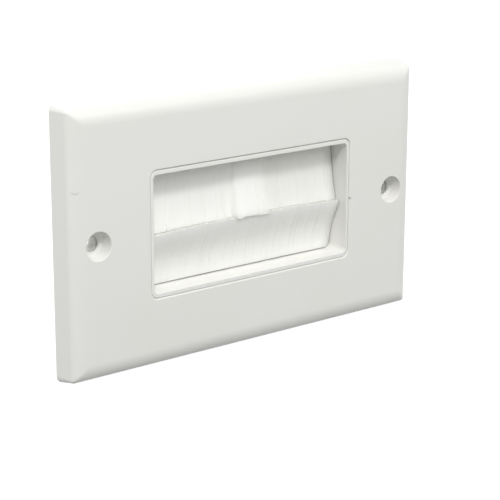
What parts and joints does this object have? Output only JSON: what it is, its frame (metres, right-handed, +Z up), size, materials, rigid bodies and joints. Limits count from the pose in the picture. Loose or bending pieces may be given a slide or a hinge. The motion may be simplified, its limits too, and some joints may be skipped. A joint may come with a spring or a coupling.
{
  "type": "cable pass-through wall plate",
  "caption": "Rectangular white wall plate with a bevelled edge and a window closed by two facing rows of bristles, through which cables pass.",
  "frame": {"origin": "centre of the plate's back edge plane, which lies on the wall, midway between the two plate screw holes", "axes": "+X along the plate's long side, +Y into the wall, +Z up; the room is on the -Y side"},
  "size_m": [0.1142, 0.0157, 0.0698],
  "materials": {
    "plate_plastic": "semi-gloss white moulded plastic",
    "insert_plastic": "semi-gloss white moulded plastic",
    "bristle_nylon": "fine white nylon filaments",
    "channel_steel": "plated strip steel",
    "screw_steel": "bright plated steel"
  },
  "bodies": {
    "root": {"wall_plate": "plate_plastic", "insert_frame": "insert_plastic", "upper_bristles": "bristle_nylon", "lower_bristles": "bristle_nylon", "upper_brush_channel": "channel_steel", "lower_brush_channel": "channel_steel", "upper_brush_wire": "screw_steel", "lower_brush_wire": "screw_steel", "upper_clamp_bar": "insert_plastic", "lower_clamp_bar": "insert_plastic", "clamp_screw_upper_left": "screw_steel", "clamp_screw_upper_right": "screw_steel", "clamp_screw_lower_left": "screw_steel", "clamp_screw_lower_right": "screw_steel"}
  },
  "joints": []
}
